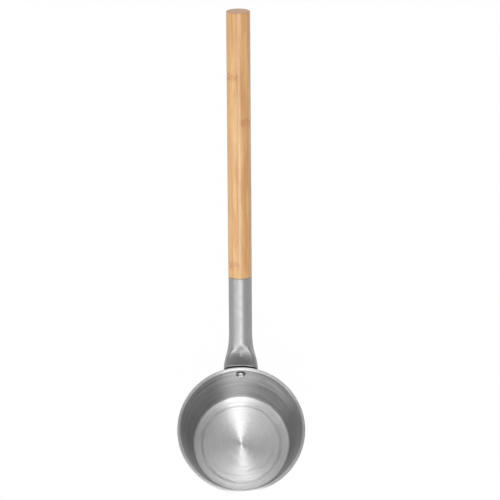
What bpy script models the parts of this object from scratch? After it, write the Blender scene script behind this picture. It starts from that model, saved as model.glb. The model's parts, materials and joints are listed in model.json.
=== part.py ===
"""A sauna ladle: a turned steel cup, a cast ferrule with a flared foot, and a bamboo rod.

Metres, +Z up. The origin is the centre of the ring that the cup stands on. The handle rises
towards +Y, and the ladle is symmetrical about the plane X = 0.
"""

from math import atan2, cos, pi, radians, sin, sqrt, tan

import bmesh
import bpy
from mathutils import Matrix, Vector
from mathutils.geometry import interpolate_bezier

# Clearance between two pieces that seat on each other
SEAT_GAP = 0.0003

# Cup, drawn from sheet and turned
RIM_DIAMETER = 0.110
CUP_HEIGHT = 0.0595
BASE_DIAMETER = 0.085
SHEET_THICKNESS = 0.0008
LIP_OVERHANG = 0.0016
LIP_THICKNESS = 0.0013
LIP_EDGE_RADIUS = 0.0006
LIP_ROOT_RADIUS = 0.0008
MOUTH_RADIUS = 0.0012
BASE_CORNER_RADIUS = 0.0018
PANEL_DIAMETER = 0.073
PANEL_RISE = 0.0004
PANEL_STEP = 0.0006

# Line of the handle: how far below the rim it meets the cup's wall, and how steeply it rises
HANDLE_DROP = 0.0275
HANDLE_RISE = radians(31.5)

# Ferrule, cast in one with its foot
FERRULE_DIAMETER = 0.0201
FERRULE_REACH = 0.0965
FERRULE_END_RADIUS = 0.0006
FLARE_LENGTH = 0.048
FOOT_WIDTH = 0.0298
FOOT_HEIGHT = 0.040
FOOT_BELOW_LIP = 0.0014
FOOT_EDGE_RADIUS = 0.0014
WEB_THICKNESS = 0.006

# Foot's outline: 2 would be an ellipse. It is square at the top, under the lip, and round below
FOOT_TOP_SQUARENESS = 8.0
FOOT_BOTTOM_SQUARENESS = 2.3

# Lines of the flare: how much of each keeps the foot's direction, and how much the tube's
FLARE_FOOT_PULL = 0.53
FLARE_TUBE_PULL = 0.60

# Hollow on top of the flare: how steeply it dips behind the foot's top edge, its own two shares
# and how narrow it is. A higher power keeps it nearer the middle
HOLLOW_DIP = radians(27)
HOLLOW_FOOT_PULL = 0.38
HOLLOW_TUBE_PULL = 0.72
HOLLOW_POWER = 6.0

# Pad between the foot and the wall
GASKET_THICKNESS = 0.0032
GASKET_INSET = 0.0003

# Rod, with a tenon glued into the ferrule's socket
ROD_DIAMETER = 0.0204
ROD_LENGTH = 0.2328
ROD_SHOULDER_RADIUS = 0.002
ROD_END_RADIUS = 0.0012
TENON_DIAMETER = 0.015
TENON_LENGTH = 0.050
TENON_END_RADIUS = 0.001

# Screw through the cup's wall into the foot, and the sealing washer under its head
FIXING_DROP = 0.0072
FIXING_DIAMETER = 0.004
FIXING_HEAD_DIAMETER = 0.008
FIXING_HEAD_HEIGHT = 0.0015
FIXING_TIP_DIAMETER = 0.003
FIXING_TIP_LENGTH = 0.0006
FIXING_THREAD_REACH = 0.0045
FIXING_TIP_CLEARANCE = 0.0005
WASHER_OVERHANG = 0.0003
WASHER_THICKNESS = 0.0005

# Screw through the ferrule's web into the rod
ROD_SCREW_DIAMETER = 0.0045
ROD_SCREW_LENGTH = 0.050
ROD_SCREW_HEAD_DIAMETER = 0.0074
ROD_SCREW_HEAD_HEIGHT = 0.0022
ROD_SCREW_TIP_DIAMETER = 0.0008
ROD_SCREW_TIP_LENGTH = 0.006
DRIVER_CLEARANCE = 0.0005

# Dome and cross recess of a screw's head, as shares of its height and diameter
HEAD_SIDE = 0.3
HEAD_SHOULDER = 0.5
HEAD_CROWN = 0.6
RECESS_SPAN = 0.56
RECESS_SLOT = 0.14
RECESS_DEPTH = 0.75

# How finely round shapes are cut into flat faces
CUP_SEGMENTS = 80
FOOT_SEGMENTS = 64
ROD_SEGMENTS = 48
SCREW_SEGMENTS = 24
ARC_STEPS = 3
FLARE_STEPS = 10
CAP_STEPS = 4
SHARP_ANGLE = radians(35)

# How far a cutter runs past the surface that it opens, and the distance at which points are one
CUT_MARGIN = 0.003
MERGE_DISTANCE = 0.000001

wall_lean = atan2((RIM_DIAMETER - BASE_DIAMETER) / 2 - LIP_OVERHANG, CUP_HEIGHT)
lip_underside = CUP_HEIGHT - LIP_THICKNESS
foot_top = lip_underside - FOOT_BELOW_LIP
foot_middle = foot_top - FOOT_HEIGHT / 2
gasket_face = SEAT_GAP + GASKET_THICKNESS
foot_back = gasket_face + SEAT_GAP

shoulder = FERRULE_REACH + SEAT_GAP
tenon_tip = shoulder - TENON_LENGTH
socket_floor = tenon_tip - SEAT_GAP
web_underside = socket_floor - WEB_THICKNESS
rod_screw_seat = web_underside - SEAT_GAP

fixing_height = CUP_HEIGHT - FIXING_DROP
fixing_hole_radius = FIXING_DIAMETER / 2 + SEAT_GAP
rod_screw_hole_radius = ROD_SCREW_DIAMETER / 2 + SEAT_GAP


def wall_radius(height, offset=0.0):
    """Radius of the cup's outer wall at a height, or of a cone that lies offset outside it."""
    return BASE_DIAMETER / 2 + height * tan(wall_lean) + offset / cos(wall_lean)


def wall_point(height, x=0.0, offset=0.0):
    """Point of that cone on the handle's side, x away from the plane of symmetry."""
    return Vector((x, sqrt(wall_radius(height, offset) ** 2 - x * x), height))


def turns():
    """Angles of the lines that the foot and the ferrule are drawn with."""
    return [2 * pi * step / FOOT_SEGMENTS for step in range(FOOT_SEGMENTS)]


def material(name, colour, roughness, metallic):
    """Principled material of one colour."""
    made = bpy.data.materials.new(name)
    made.use_nodes = True
    shader = made.node_tree.nodes["Principled BSDF"]
    shader.inputs["Base Color"].default_value = (*colour, 1.0)
    shader.inputs["Roughness"].default_value = roughness
    shader.inputs["Metallic"].default_value = metallic
    made.diffuse_color = (*colour, 1.0)
    return made


def piece(name, mesh, parent=None, finish=None):
    """New object, with its mesh in the frame of its parent."""
    made = bpy.data.objects.new(name, mesh)
    bpy.context.scene.collection.objects.link(made)
    made.parent = parent
    if finish:
        mesh.materials.append(finish)
    return made


def guide(name, frame):
    """Empty whose local Z is the line that its pieces are turned about."""
    made = bpy.data.objects.new(name, None)
    bpy.context.scene.collection.objects.link(made)
    made.matrix_world = frame
    return made


def frame_on_wall(height, rise):
    """Frame on the cup's outer wall whose Z leaves it at an angle above level, with Y on top."""
    return Matrix.Translation(wall_point(height)) @ Matrix.Rotation(pi, 4, "Z") @ (
        Matrix.Rotation(pi / 2 - rise, 4, "X")
    )


def finished(shape, name):
    """The shape as a mesh with its faces out, smooth except at its sharp edges."""
    bmesh.ops.recalc_face_normals(shape, faces=shape.faces)
    mesh = bpy.data.meshes.new(name)
    shape.to_mesh(mesh)
    shape.free()
    mesh.shade_smooth()
    mesh.set_sharp_from_angle(angle=SHARP_ANGLE)
    return mesh


def rounded(corners):
    """Outline through corners of (across, along, radius), each rounded by its own radius."""
    outline = []
    for index, (across, along, radius) in enumerate(corners):
        here = Vector((across, along))
        if radius == 0:
            outline.append(here)
            continue
        before = (Vector(corners[index - 1][:2]) - here).normalized()
        after = (Vector(corners[(index + 1) % len(corners)][:2]) - here).normalized()
        half = before.angle(after) / 2
        centre = here + (before + after).normalized() * radius / sin(half)
        first = here + before * radius / tan(half) - centre
        last = here + after * radius / tan(half) - centre
        swing = -first.angle_signed(last)
        for step in range(ARC_STEPS + 1):
            outline.append(centre + Matrix.Rotation(swing * step / ARC_STEPS, 2) @ first)
    return outline


def turned(name, corners, segments, closed=False):
    """Mesh turned about Z from corners of (radius, height, corner radius)."""
    shape = bmesh.new()
    outline = [shape.verts.new((point.x, 0, point.y)) for point in rounded(corners)]
    edges = [shape.edges.new(pair) for pair in zip(outline, outline[1:])]
    if closed:
        edges.append(shape.edges.new((outline[-1], outline[0])))
    bmesh.ops.spin(
        shape,
        geom=outline + edges,
        cent=(0, 0, 0),
        axis=(0, 0, 1),
        angle=2 * pi,
        steps=segments,
        use_merge=True,
    )
    bmesh.ops.remove_doubles(shape, verts=shape.verts, dist=MERGE_DISTANCE)
    return finished(shape, name)


def skinned(name, rings):
    """Closed mesh through rings of points. A ring may be one point, and a last ring is capped."""
    shape = bmesh.new()
    rows = [[shape.verts.new(point) for point in ring] for ring in rings]
    for lower, upper in zip(rows, rows[1:]):
        count = max(len(lower), len(upper))
        for index in range(count):
            after = (index + 1) % count
            corners = [lower[index % len(lower)], lower[after % len(lower)]]
            corners += [upper[after % len(upper)], upper[index % len(upper)]]
            shape.faces.new(dict.fromkeys(corners))
    if len(rows[-1]) > 1:
        shape.faces.new(rows[-1])
    return finished(shape, name)


def cut(target, cutter):
    """Takes the cutter's space out of the target."""
    cutter.hide_render = True
    cutter.display_type = "WIRE"
    modifier = target.modifiers.new(cutter.name, "BOOLEAN")
    modifier.operation = "DIFFERENCE"
    modifier.object = cutter


def foot_point(turn, offset, inset=0.0, share=1.0):
    """Point on the foot's outline, drawn in by inset and then scaled, on a cone round the wall."""
    across = cos(turn) / (FOOT_WIDTH / 2)
    upward = sin(turn) / (FOOT_HEIGHT / 2)
    power = FOOT_TOP_SQUARENESS if upward > 0 else FOOT_BOTTOM_SQUARENESS
    reach = (abs(across) ** power + abs(upward) ** power) ** (-1 / power)
    reach = (reach - inset) * share
    return wall_point(foot_middle + reach * sin(turn), reach * cos(turn), offset)


def foot_face(offset, inset):
    """Rings that fill the foot's outline on a cone round the wall, from its middle outwards."""
    rings = [[wall_point(foot_middle, 0, offset)]]
    for step in range(1, CAP_STEPS + 1):
        rings.append([foot_point(turn, offset, inset, step / CAP_STEPS) for turn in turns()])
    return rings


def tube_point(frame, turn, radius, along):
    """Point on a tube round the handle's line, in the same turn as the foot's points."""
    return frame @ Vector((-radius * cos(turn), radius * sin(turn), along))


def flare_line(frame, turn):
    """Line of the flare from the foot's edge to the tube, as a curve with both directions kept."""
    start = foot_point(turn, foot_back) + Vector((0, FOOT_EDGE_RADIUS, 0))
    end = tube_point(frame, turn, FERRULE_DIAMETER / 2, FLARE_LENGTH)
    hollow = max(0, sin(turn)) ** HOLLOW_POWER
    rise = HANDLE_RISE * (1 - sin(turn)) / 2 - HOLLOW_DIP * hollow
    leaving = Vector((0, cos(rise), sin(rise)))
    arriving = frame.to_3x3() @ Vector((0, 0, 1))
    span = (end - start).length
    foot_pull = FLARE_FOOT_PULL + (HOLLOW_FOOT_PULL - FLARE_FOOT_PULL) * hollow
    tube_pull = FLARE_TUBE_PULL + (HOLLOW_TUBE_PULL - FLARE_TUBE_PULL) * hollow
    first_pull = start + leaving * span * foot_pull
    last_pull = end - arriving * span * tube_pull
    return interpolate_bezier(start, first_pull, last_pull, end, FLARE_STEPS + 1)


def ferrule_line(frame, turn):
    """Line of the ferrule's skin, over the foot's edge, along the flare and to the tube's end."""
    line = []
    for step in range(1, ARC_STEPS):
        swing = pi / 2 * step / ARC_STEPS
        inset = FOOT_EDGE_RADIUS * (1 - sin(swing))
        forward = FOOT_EDGE_RADIUS * (1 - cos(swing))
        line.append(foot_point(turn, foot_back, inset) + Vector((0, forward, 0)))
    line += flare_line(frame, turn)
    for step in range(ARC_STEPS + 1):
        swing = pi / 2 * step / ARC_STEPS
        radius = FERRULE_DIAMETER / 2 - FERRULE_END_RADIUS * (1 - cos(swing))
        along = FERRULE_REACH - FERRULE_END_RADIUS * (1 - sin(swing))
        line.append(tube_point(frame, turn, radius, along))
    return line


def round_cutter(name, corners, parent):
    """Cutter turned about the parent's Z."""
    return piece(name, turned(name, corners, SCREW_SEGMENTS), parent)


def cross_cutter(name, head_diameter, face, depth, parent):
    """Cross with its arms on the diagonals, sunk into a screw's head from its face."""
    arm = head_diameter * RECESS_SPAN / 2
    slot = head_diameter * RECESS_SLOT / 2
    outline = []
    for quarter in range(4):
        turn = Matrix.Rotation(pi / 4 + quarter * pi / 2, 2)
        outline += [turn @ Vector(corner) for corner in ((arm, -slot), (arm, slot), (slot, slot))]
    shape = bmesh.new()
    top = face - CUT_MARGIN
    bottom = shape.faces.new([shape.verts.new((*point, top)) for point in outline])
    pushed = bmesh.ops.extrude_face_region(shape, geom=[bottom])["geom"]
    points = [item for item in pushed if isinstance(item, bmesh.types.BMVert)]
    bmesh.ops.translate(shape, verts=points, vec=(0, 0, face + depth - top))
    return piece(name, finished(shape, name), parent)


def screw(name, seat, tip, diameter, head, point, parent, finish):
    """Pan head screw along the parent's Z, with its head's flat side at seat."""
    head_diameter, head_height = head
    point_diameter, point_length = point
    face = seat - head_height
    crown = head_diameter / 2 * HEAD_CROWN
    side = seat - head_height * HEAD_SIDE
    rounding = head_height * HEAD_SHOULDER
    corners = [
        (0, face, 0),
        (crown, face, rounding),
        (head_diameter / 2, side, rounding),
        (head_diameter / 2, seat, 0),
        (diameter / 2, seat, 0),
        (diameter / 2, tip - point_length, 0),
        (point_diameter / 2, tip, 0),
        (0, tip, 0),
    ]
    made = piece(name, turned(name, corners, SCREW_SEGMENTS), parent, finish)
    depth = head_height * RECESS_DEPTH
    cut(made, cross_cutter(name + "_recess", head_diameter, face, depth, parent))
    return made


def build_cup(finish):
    """Cup: the outer profile from the panel to the lip, and the inner one back to the middle."""
    inner = -SHEET_THICKNESS
    panel = PANEL_DIAMETER / 2
    corners = [
        (0, PANEL_RISE, 0),
        (panel, PANEL_RISE, 0),
        (panel + PANEL_STEP, 0, 0),
        (wall_radius(0), 0, BASE_CORNER_RADIUS),
        (wall_radius(lip_underside), lip_underside, LIP_ROOT_RADIUS),
        (RIM_DIAMETER / 2, lip_underside, LIP_EDGE_RADIUS),
        (RIM_DIAMETER / 2, CUP_HEIGHT, LIP_EDGE_RADIUS),
        (wall_radius(CUP_HEIGHT, inner), CUP_HEIGHT, MOUTH_RADIUS),
        (
            wall_radius(SHEET_THICKNESS, inner),
            SHEET_THICKNESS,
            BASE_CORNER_RADIUS - SHEET_THICKNESS,
        ),
        (panel + PANEL_STEP, SHEET_THICKNESS, 0),
        (panel, SHEET_THICKNESS + PANEL_RISE, 0),
        (0, SHEET_THICKNESS + PANEL_RISE, 0),
    ]
    return piece("cup", turned("cup", corners, CUP_SEGMENTS), finish=finish)


def build_gasket(finish):
    """Pad that fills the space between the foot's outline and the wall."""
    near = foot_face(SEAT_GAP, GASKET_INSET)
    far = foot_face(gasket_face, GASKET_INSET)
    return piece("cup_gasket", skinned("cup_gasket", near + far[::-1]), finish=finish)


def build_ferrule(handle, finish):
    """Tube with a flared foot that fits the cup's wall, and its stepped bore."""
    frame = handle.matrix_world
    lines = [ferrule_line(frame, turn) for turn in turns()]
    rings = foot_face(foot_back, FOOT_EDGE_RADIUS) + list(zip(*lines))
    mesh = skinned("ferrule", rings)
    mesh.transform(frame.inverted())
    ferrule = piece("ferrule", mesh, handle, finish)
    driver_radius = ROD_SCREW_HEAD_DIAMETER / 2 + DRIVER_CLEARANCE
    socket_radius = TENON_DIAMETER / 2 + SEAT_GAP
    corners = [
        (0, -wall_radius(0), 0),
        (driver_radius, -wall_radius(0), 0),
        (driver_radius, web_underside, 0),
        (rod_screw_hole_radius, web_underside, 0),
        (rod_screw_hole_radius, socket_floor, 0),
        (socket_radius, socket_floor, 0),
        (socket_radius, FERRULE_REACH + CUT_MARGIN, 0),
        (0, FERRULE_REACH + CUT_MARGIN, 0),
    ]
    cut(ferrule, round_cutter("ferrule_bore", corners, handle))
    return ferrule


def build_rod(handle, finish):
    """Rod with its tenon and the pilot hole for its screw."""
    end = shoulder + ROD_LENGTH
    hole_end = rod_screw_seat + ROD_SCREW_LENGTH + SEAT_GAP
    corners = [
        (0, hole_end, 0),
        (rod_screw_hole_radius, hole_end, 0),
        (rod_screw_hole_radius, tenon_tip, 0),
        (TENON_DIAMETER / 2, tenon_tip, TENON_END_RADIUS),
        (TENON_DIAMETER / 2, shoulder, 0),
        (ROD_DIAMETER / 2, shoulder, ROD_SHOULDER_RADIUS),
        (ROD_DIAMETER / 2, end, ROD_END_RADIUS),
        (0, end, 0),
    ]
    return piece("handle_rod", turned("handle_rod", corners, ROD_SEGMENTS), handle, finish)


def build_rod_screw(handle, finish):
    """Screw that draws the rod into the ferrule."""
    return screw(
        "rod_screw",
        rod_screw_seat,
        rod_screw_seat + ROD_SCREW_LENGTH,
        ROD_SCREW_DIAMETER,
        (ROD_SCREW_HEAD_DIAMETER, ROD_SCREW_HEAD_HEIGHT),
        (ROD_SCREW_TIP_DIAMETER, ROD_SCREW_TIP_LENGTH),
        handle,
        finish,
    )


def build_fixing(drilled, steel, rubber):
    """Screw that holds the foot, its washer, and the hole through every piece it passes."""
    line = guide("fixing_line", frame_on_wall(fixing_height, -wall_lean))
    washer_radius = FIXING_HEAD_DIAMETER / 2 + WASHER_OVERHANG
    wall_curve = washer_radius**2 / 2 / wall_radius(fixing_height, -SHEET_THICKNESS)
    washer_top = -SHEET_THICKNESS - wall_curve - SEAT_GAP
    washer_bottom = washer_top - WASHER_THICKNESS
    tip = foot_back + FIXING_THREAD_REACH
    corners = [
        (fixing_hole_radius, washer_bottom, 0),
        (washer_radius, washer_bottom, 0),
        (washer_radius, washer_top, 0),
        (fixing_hole_radius, washer_top, 0),
    ]
    ring = turned("sealing_washer", corners, SCREW_SEGMENTS, closed=True)
    piece("sealing_washer", ring, line, rubber)
    screw(
        "fixing_screw",
        washer_bottom - SEAT_GAP,
        tip,
        FIXING_DIAMETER,
        (FIXING_HEAD_DIAMETER, FIXING_HEAD_HEIGHT),
        (FIXING_TIP_DIAMETER, FIXING_TIP_LENGTH),
        line,
        steel,
    )
    start = washer_bottom - CUT_MARGIN
    end = tip + FIXING_TIP_CLEARANCE
    corners = [(0, start, 0), (fixing_hole_radius, start, 0), (fixing_hole_radius, end, 0), (0, end, 0)]
    hole = round_cutter("fixing_hole", corners, line)
    for target in drilled:
        cut(target, hole)


def build_ladle():
    """Every piece of the ladle, in an empty scene."""
    for left_over in list(bpy.data.objects):
        bpy.data.objects.remove(left_over)
    brushed_steel = material("brushed_steel", (0.50, 0.50, 0.50), 0.30, 1.0)
    cast_metal = material("satin_cast_metal", (0.46, 0.46, 0.47), 0.38, 1.0)
    bamboo = material("bamboo", (0.66, 0.42, 0.20), 0.50, 0.0)
    rubber = material("black_rubber", (0.012, 0.012, 0.013), 0.65, 0.0)
    zinc = material("plated_steel", (0.62, 0.62, 0.62), 0.25, 1.0)

    handle = guide("handle_line", frame_on_wall(CUP_HEIGHT - HANDLE_DROP, HANDLE_RISE))
    cup = build_cup(brushed_steel)
    gasket = build_gasket(rubber)
    ferrule = build_ferrule(handle, cast_metal)
    build_rod(handle, bamboo)
    build_rod_screw(handle, zinc)
    build_fixing((cup, gasket, ferrule), zinc, rubber)


build_ladle()
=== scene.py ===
"""Looks of a sauna ladle: a turned steel cup, a cast ferrule with a flared foot, and a bamboo rod.

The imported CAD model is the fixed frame. Each piece here stands for the CAD node of the same shape
and size, cut more finely and given its real finish. Metres, +Z up, the handle towards +Y.
"""

import json
import logging
from collections.abc import Callable, Iterable, Sequence
from dataclasses import dataclass
from enum import Enum
from math import atan2, ceil, cos, hypot, pi, radians, sin, sqrt, tan
from typing import Any

import bmesh
import bpy
from mathutils import Euler, Matrix, Vector
from mathutils.geometry import interpolate_bezier

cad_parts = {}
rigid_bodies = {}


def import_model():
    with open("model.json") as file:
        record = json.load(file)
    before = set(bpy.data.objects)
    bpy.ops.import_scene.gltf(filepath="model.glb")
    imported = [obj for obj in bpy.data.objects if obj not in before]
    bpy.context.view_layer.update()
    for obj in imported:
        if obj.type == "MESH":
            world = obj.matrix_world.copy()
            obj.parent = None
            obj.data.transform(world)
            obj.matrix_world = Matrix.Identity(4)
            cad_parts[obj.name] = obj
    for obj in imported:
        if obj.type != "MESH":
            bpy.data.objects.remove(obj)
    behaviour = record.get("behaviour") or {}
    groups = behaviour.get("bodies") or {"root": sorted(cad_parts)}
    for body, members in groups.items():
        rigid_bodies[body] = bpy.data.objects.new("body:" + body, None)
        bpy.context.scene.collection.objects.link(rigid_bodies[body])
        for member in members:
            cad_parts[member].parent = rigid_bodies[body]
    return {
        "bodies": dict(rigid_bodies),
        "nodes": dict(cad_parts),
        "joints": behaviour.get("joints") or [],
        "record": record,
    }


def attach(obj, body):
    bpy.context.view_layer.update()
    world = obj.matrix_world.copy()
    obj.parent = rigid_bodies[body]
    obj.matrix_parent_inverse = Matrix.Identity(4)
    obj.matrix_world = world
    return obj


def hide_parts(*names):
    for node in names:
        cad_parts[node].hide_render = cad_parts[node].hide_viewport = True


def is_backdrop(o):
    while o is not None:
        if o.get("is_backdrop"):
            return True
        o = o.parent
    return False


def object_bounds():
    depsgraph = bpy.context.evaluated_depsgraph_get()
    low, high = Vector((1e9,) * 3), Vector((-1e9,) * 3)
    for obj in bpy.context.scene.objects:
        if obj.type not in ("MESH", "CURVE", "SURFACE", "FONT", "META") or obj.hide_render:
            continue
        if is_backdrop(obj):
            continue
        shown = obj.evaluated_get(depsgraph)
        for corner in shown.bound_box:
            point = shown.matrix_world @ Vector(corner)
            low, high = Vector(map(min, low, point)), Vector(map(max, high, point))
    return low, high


LOG = logging.getLogger("sauna_ladle")
BODY = "root"
THREAD_SHARE = "thread"

# The gap that two pieces keep where they touch, and how far a cutter reaches past what it cuts.
SEAT_GAP = 0.0003
CUT_MARGIN = 0.003
MERGE_DISTANCE = 0.000001
SHARP_ANGLE = radians(35)

Corner = tuple[float, float, float]
Colour = tuple[float, float, float]
Range = tuple[float, float]
Piece = bpy.types.Object
Material = bpy.types.Material
Socket = bpy.types.NodeSocket

WHITE: Colour = (1.0, 1.0, 1.0)

# Where nearly all of a plain noise lies.
NOISE_RANGE: Range = (0.3, 0.7)

# Places of a Mix node's two inputs and of its output, for numbers and for colours.
NUMBER_MIX = (2, 3, 0)
COLOUR_MIX = (6, 7, 2)


class Slot(Enum):
    """Material slot of the record, by its name."""

    TURNED_STEEL = "brushed_steel"
    CAST_METAL = "satin_cast_metal"
    BAMBOO = "bamboo"
    RUBBER = "black_rubber"
    SCREW_STEEL = "plated_steel"


class Point(Enum):
    """End of a screw's shaft: cut off flat for metal, or drawn to a point for wood."""

    FLAT = "flat"
    GIMLET = "gimlet"


# ------------------------------------ Node boards -------------------------------------------


@dataclass(frozen=True)
class Grain:
    """Noise of a finish: cells per metre, finer layers, their strength, and a scale for each axis."""

    cells: float = 1.0
    layers: float = 2.0
    strength: float = 0.5
    stretch: tuple[float, float, float] | None = None


class Board:
    """Node tree with short calls for adding and wiring its nodes."""

    def __init__(self, tree: bpy.types.NodeTree) -> None:
        """Starts on the tree that the nodes go into."""
        self.tree = tree

    def add(self, kind: str, values: dict[Any, Any] | None = None, **settings: Any) -> bpy.types.Node:
        """Adds a node.

        Args:
            kind: The node's type.
            values: What goes to its inputs, by name or number. A socket is wired, the rest is set.
            **settings: The node's own properties.

        Returns:
            The new node.
        """
        node = self.tree.nodes.new(kind)
        for name, setting in settings.items():
            setattr(node, name, setting)
        for name, value in (values or {}).items():
            self.give(node.inputs[name], value)
        return node

    def give(self, socket: Socket, value: Any) -> None:
        """Wires a socket to another one, or sets it to a value.

        Args:
            socket: The input.
            value: The socket or the value that goes to it.
        """
        if isinstance(value, Socket):
            self.tree.links.new(value, socket)
        else:
            socket.default_value = value

    def math(self, operation: str, *values: Any) -> Socket:
        """Result of one Math node."""
        return self.add("ShaderNodeMath", dict(enumerate(values)), operation=operation).outputs[0]

    def plus(self, first: Any, second: Any) -> Socket:
        """Sum of two numbers."""
        return self.math("ADD", first, second)

    def minus(self, first: Any, second: Any) -> Socket:
        """First number less the second."""
        return self.math("SUBTRACT", first, second)

    def times(self, first: Any, second: Any) -> Socket:
        """Product of two numbers."""
        return self.math("MULTIPLY", first, second)

    def over(self, first: Any, second: Any) -> Socket:
        """First number divided by the second."""
        return self.math("DIVIDE", first, second)

    def mean(self, first: Any, second: Any) -> Socket:
        """Mean of two numbers."""
        return self.plus(self.times(first, 0.5), self.times(second, 0.5))

    def off_middle(self, value: Any) -> Socket:
        """How far a number lies from the middle between the whole numbers beside it."""
        return self.math("ABSOLUTE", self.minus(self.math("FRACT", value), 0.5))

    def combine(self, x: Any, y: Any, z: Any) -> Socket:
        """Vector made of three numbers."""
        return self.add("ShaderNodeCombineXYZ", {0: x, 1: y, 2: z}).outputs[0]

    def separate(self, vector: Socket) -> Sequence[Socket]:
        """Three numbers of a vector."""
        return self.add("ShaderNodeSeparateXYZ", {0: vector}).outputs

    def between(self, share: Any, first: Any, second: Any) -> Socket:
        """Mix of two numbers, with the share of the second one."""
        low, high, result = NUMBER_MIX
        return self.add("ShaderNodeMix", {0: share, low: first, high: second}).outputs[result]

    def ramp(self, value: Any, start: float, end: float, low: float = 0.0, high: float = 1.0) -> Socket:
        """Smooth climb of a value.

        Args:
            value: The number that is read.
            start: Where the climb starts.
            end: Where it ends.
            low: The result before the start.
            high: The result past the end.

        Returns:
            The socket of the result.
        """
        values = {"Value": value, "From Min": start, "From Max": end, "To Min": low, "To Max": high}
        return self.add("ShaderNodeMapRange", values, interpolation_type="SMOOTHSTEP").outputs["Result"]


class Finish(Board):
    """Material board with a Principled shader, read in Object coordinates."""

    def __init__(self, name: str) -> None:
        """Starts a material.

        Args:
            name: The material's name.
        """
        self.material = bpy.data.materials.new(name)
        self.material.use_nodes = True
        super().__init__(self.material.node_tree)
        self.shader = self.tree.nodes["Principled BSDF"]

    def place(self, frame: Matrix | None = None) -> Socket:
        """Point of the surface, in the object's own frame or in the one given.

        Args:
            frame: The frame to read the point in.

        Returns:
            The socket of the point.
        """
        point = self.add("ShaderNodeTexCoord").outputs["Object"]
        if frame is None:
            return point
        values = {"Vector": point, "Location": frame.to_translation(), "Rotation": frame.to_euler("XYZ")}
        return self.add("ShaderNodeMapping", values, vector_type="TEXTURE").outputs["Vector"]

    def stretched(self, point: Socket, scale: Sequence[float]) -> Socket:
        """Point with each axis multiplied by its own scale."""
        return self.add("ShaderNodeMapping", {"Vector": point, "Scale": tuple(scale)}).outputs["Vector"]

    def noise(self, point: Socket, grain: Grain) -> Socket:
        """Noise from 0 to 1 over a point.

        Args:
            point: The socket of the point.
            grain: The noise's form.

        Returns:
            The socket of the noise.
        """
        if grain.stretch is not None:
            point = self.stretched(point, grain.stretch)
        values = {"Vector": point, "Scale": grain.cells, "Detail": grain.layers}
        return self.add("ShaderNodeTexNoise", values | {"Roughness": grain.strength}).outputs[0]

    def mix(self, share: Any, first: Any, second: Any, blend: str = "MIX") -> Socket:
        """Mix of two colours.

        Args:
            share: How much of the second is used.
            first: The first colour.
            second: The second colour.
            blend: How the second is laid on the first.

        Returns:
            The socket of the mixed colour.
        """
        low, high, result = COLOUR_MIX
        values = {0: share, low: with_alpha(first), high: with_alpha(second)}
        return self.add("ShaderNodeMix", values, data_type="RGBA", blend_type=blend).outputs[result]

    def bump(self, height: Any, strength: float, depth: float, normal: Socket | None = None) -> Socket:
        """Surface direction on a bumpy skin.

        Args:
            height: The socket of the height, from 0 to 1.
            strength: How much of the bump shows.
            depth: The height of a full bump in metres.
            normal: A bump that this one lies on.

        Returns:
            The socket of the direction.
        """
        values = {"Height": height, "Strength": strength, "Distance": depth}
        if normal is not None:
            values["Normal"] = normal
        return self.add("ShaderNodeBump", values).outputs[0]

    def finished(self, **inputs: Any) -> Material:
        """Sets or wires the shader's inputs.

        Args:
            **inputs: Values by the input's name in small letters, with _ for a space.

        Returns:
            The finished material.
        """
        for name, value in inputs.items():
            self.give(self.shader.inputs[name.replace("_", " ").title().replace("Ior", "IOR")], value)
        return self.material


def with_alpha(colour: Any) -> Any:
    """Colour with full alpha, or the socket as it is."""
    return (*colour, 1.0) if isinstance(colour, tuple) else colour


def around(middle: float, spread: float) -> Range:
    """Lowest and highest value of a range, from its middle and its width."""
    return middle - spread / 2, middle + spread / 2


def shades(colour: Colour, spread: float) -> tuple[Colour, Colour]:
    """Darker and lighter shade of a colour, each away from it by the same share."""
    dark, light = (tuple(channel * (1 + side * spread) for channel in colour) for side in (-1, 1))
    return dark, light


# ------------------------------------ Finishes ----------------------------------------------


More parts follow.
